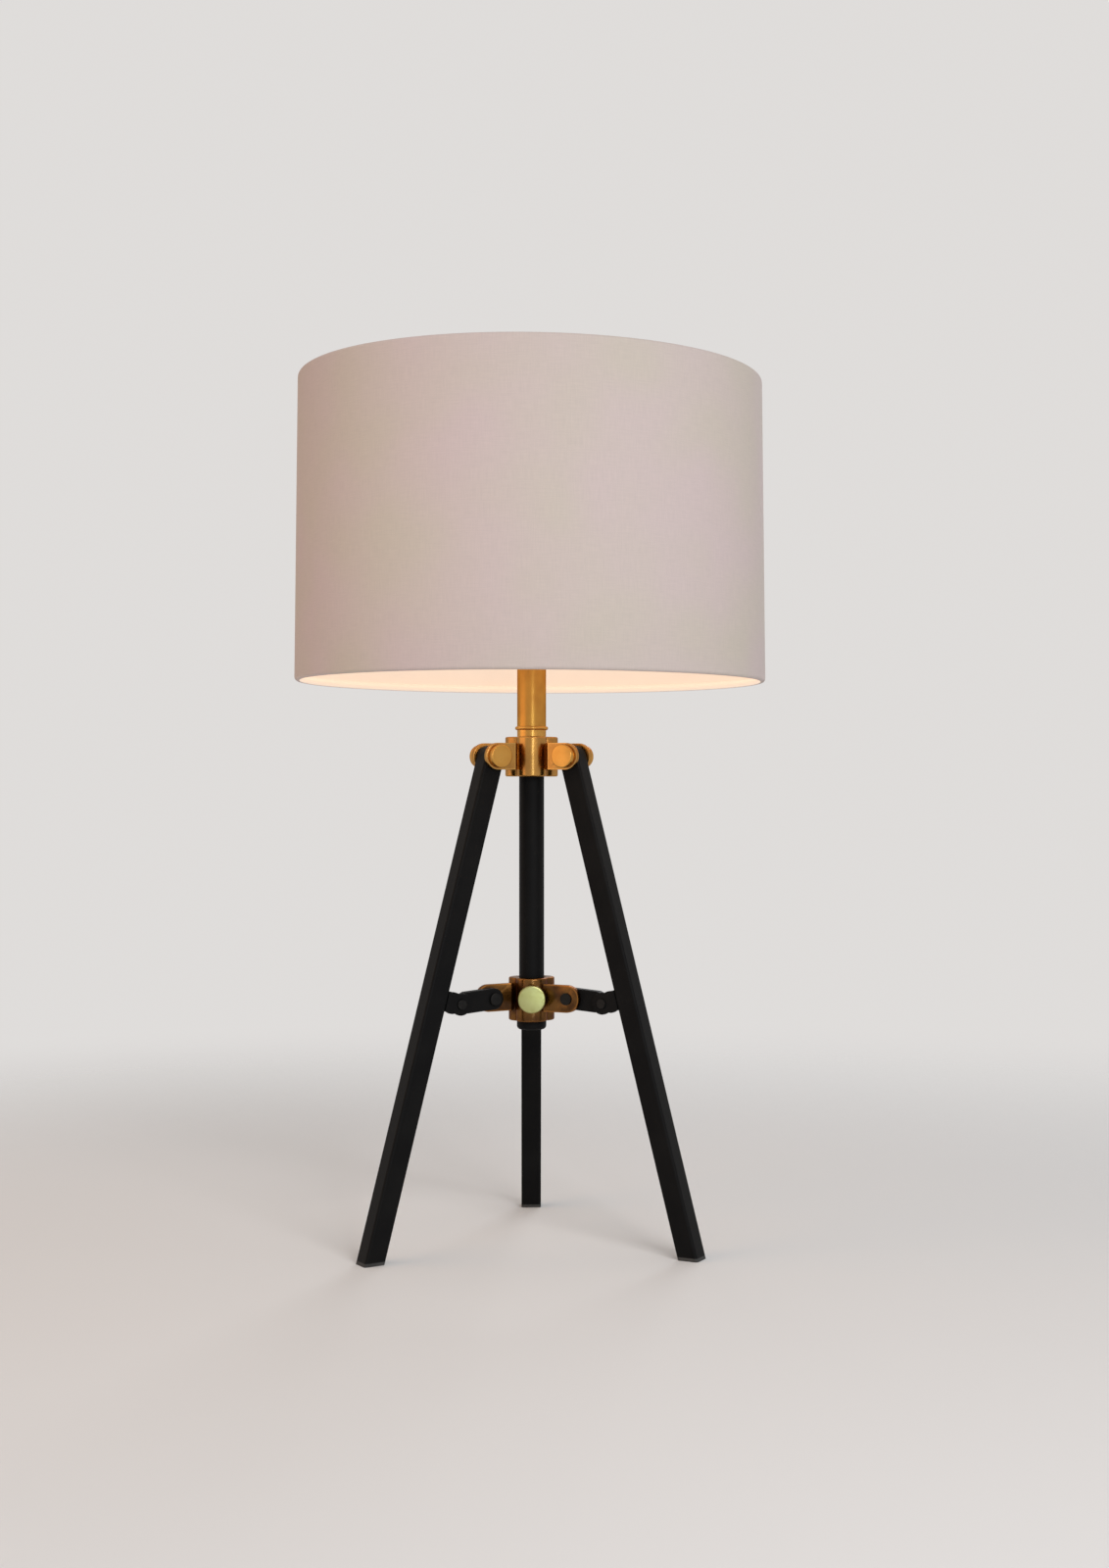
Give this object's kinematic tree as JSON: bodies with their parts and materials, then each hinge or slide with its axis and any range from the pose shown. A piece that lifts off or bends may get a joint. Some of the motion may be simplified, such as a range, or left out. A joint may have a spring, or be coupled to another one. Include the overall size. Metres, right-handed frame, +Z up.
{
  "type": "tripod table lamp",
  "caption": "Tripod table lamp with a drum shade, brass hubs, a black pole, and hinged square legs spread by short braces from a sliding hub.",
  "frame": {"origin": "on the table top, under the axis of the pole and the shade", "axes": "+Z up the pole, -Y towards the front, where the lock knob is, +X to the viewer's right"},
  "size_m": [0.3559, 0.356, 0.6549],
  "materials": {
    "brass": "satin, lacquered",
    "socket_brass": "bright pressed sheet",
    "black_metal": "satin black powder coat",
    "black_screws": "black oxide",
    "steel": "zinc plated",
    "rubber": "matt",
    "phenolic": "moulded, satin",
    "card": "pressed fibre",
    "shade_fabric": "fine plain weave, off white",
    "shade_backing": "matt cream sheet",
    "white_wire": "white coated wire",
    "bulb_glass": "frosted"
  },
  "bodies": {
    "stand": {"pole": "black_metal", "pole_end_cap": "black_metal", "cord_bushing": "rubber", "upper_hub": "brass", "leg_bolts": "brass", "leg_bolt_caps": "brass", "threaded_rod": "steel", "rod_nut": "steel", "neck_collar": "brass", "neck_tube": "brass", "neck_cap": "brass", "harp_saddle": "steel", "harp": "steel", "harp_ferrules": "steel", "harp_stud": "brass", "socket_cap": "socket_brass", "socket_shell": "socket_brass", "socket_sleeve": "card", "switch_block": "phenolic", "screw_shell": "socket_brass", "centre_contact": "socket_brass", "bulb_cap": "steel", "bulb_glass": "bulb_glass"},
    "slider": {"lower_hub": "brass", "brace_screws": "black_screws"},
    "lock": {"lock_knob": "brass", "lock_screw": "steel"},
    "key": {"switch_key": "phenolic"},
    "shade": {"shade_fabric": "shade_fabric", "shade_backing": "shade_backing", "shade_foot_ring": "white_wire", "shade_top_ring": "white_wire", "spider_washer": "white_wire", "spider_arms": "white_wire"},
    "crown": {"finial": "brass"},
    "right_leg": {"leg_right": "black_metal", "foot_pad_right": "rubber", "leg_bracket_right": "black_metal", "bracket_screws_right": "black_screws"},
    "right_brace": {"brace_right": "black_metal"},
    "rear_leg": {"leg_rear": "black_metal", "foot_pad_rear": "rubber", "leg_bracket_rear": "black_metal", "bracket_screws_rear": "black_screws"},
    "rear_brace": {"brace_rear": "black_metal"},
    "left_leg": {"leg_left": "black_metal", "foot_pad_left": "rubber", "leg_bracket_left": "black_metal", "bracket_screws_left": "black_screws"},
    "left_brace": {"brace_left": "black_metal"}
  },
  "joints": [
    {"name": "hub_slide", "type": "slide", "parent": "stand", "child": "slider", "axis": [0, 0, 1], "range_m": [0, 0.0255]},
    {"name": "right_leg_fold", "type": "hinge", "parent": "stand", "child": "right_leg", "pos_m": [0.03074, -0.01775, 0.3695], "axis": [0.5, 0.866, 0], "range_deg": [0, 8.27]},
    {"name": "rear_leg_fold", "type": "hinge", "parent": "stand", "child": "rear_leg", "pos_m": [0, 0.0355, 0.3695], "axis": [-1, 0, 0], "range_deg": [0, 8.27]},
    {"name": "left_leg_fold", "type": "hinge", "parent": "stand", "child": "left_leg", "pos_m": [-0.03074, -0.01775, 0.3695], "axis": [0.5, -0.866, 0], "range_deg": [0, 8.27]},
    {"name": "right_brace_fold", "type": "hinge", "parent": "slider", "child": "right_brace", "pos_m": [0.02988, -0.01725, 0.187], "axis": [0.5, 0.866, 0], "range_deg": [0, 80.1]},
    {"name": "rear_brace_fold", "type": "hinge", "parent": "slider", "child": "rear_brace", "pos_m": [0, 0.0345, 0.187], "axis": [-1, 0, 0], "range_deg": [0, 80.1]},
    {"name": "left_brace_fold", "type": "hinge", "parent": "slider", "child": "left_brace", "pos_m": [-0.02988, -0.01725, 0.187], "axis": [0.5, -0.866, 0], "range_deg": [0, 80.1]},
    {"name": "lock_turn", "type": "hinge", "parent": "slider", "child": "lock", "pos_m": [0, -0.0225, 0.187], "axis": [0, -1, 0], "range_deg": [0, 360]},
    {"name": "switch_turn", "type": "hinge", "parent": "stand", "child": "key", "pos_m": [0, -0.035, 0.4719], "axis": [0, -1, 0], "continuous": true},
    {"name": "shade_swivel", "type": "hinge", "parent": "stand", "child": "shade", "pos_m": [0, 0, 0.6387], "axis": [0, 0, 1], "continuous": true},
    {"name": "finial_turn", "type": "hinge", "parent": "stand", "child": "crown", "pos_m": [0, 0, 0.645], "axis": [0, 0, 1], "continuous": true}
  ],
  "couplings": [
    {"joint": "right_leg_fold", "follows": "hub_slide", "rad_per_m": 5.647},
    {"joint": "rear_leg_fold", "follows": "hub_slide", "rad_per_m": 5.647},
    {"joint": "left_leg_fold", "follows": "hub_slide", "rad_per_m": 5.647},
    {"joint": "right_brace_fold", "follows": "hub_slide", "rad_per_m": 54.752},
    {"joint": "rear_brace_fold", "follows": "hub_slide", "rad_per_m": 54.752},
    {"joint": "left_brace_fold", "follows": "hub_slide", "rad_per_m": 54.752}
  ]
}
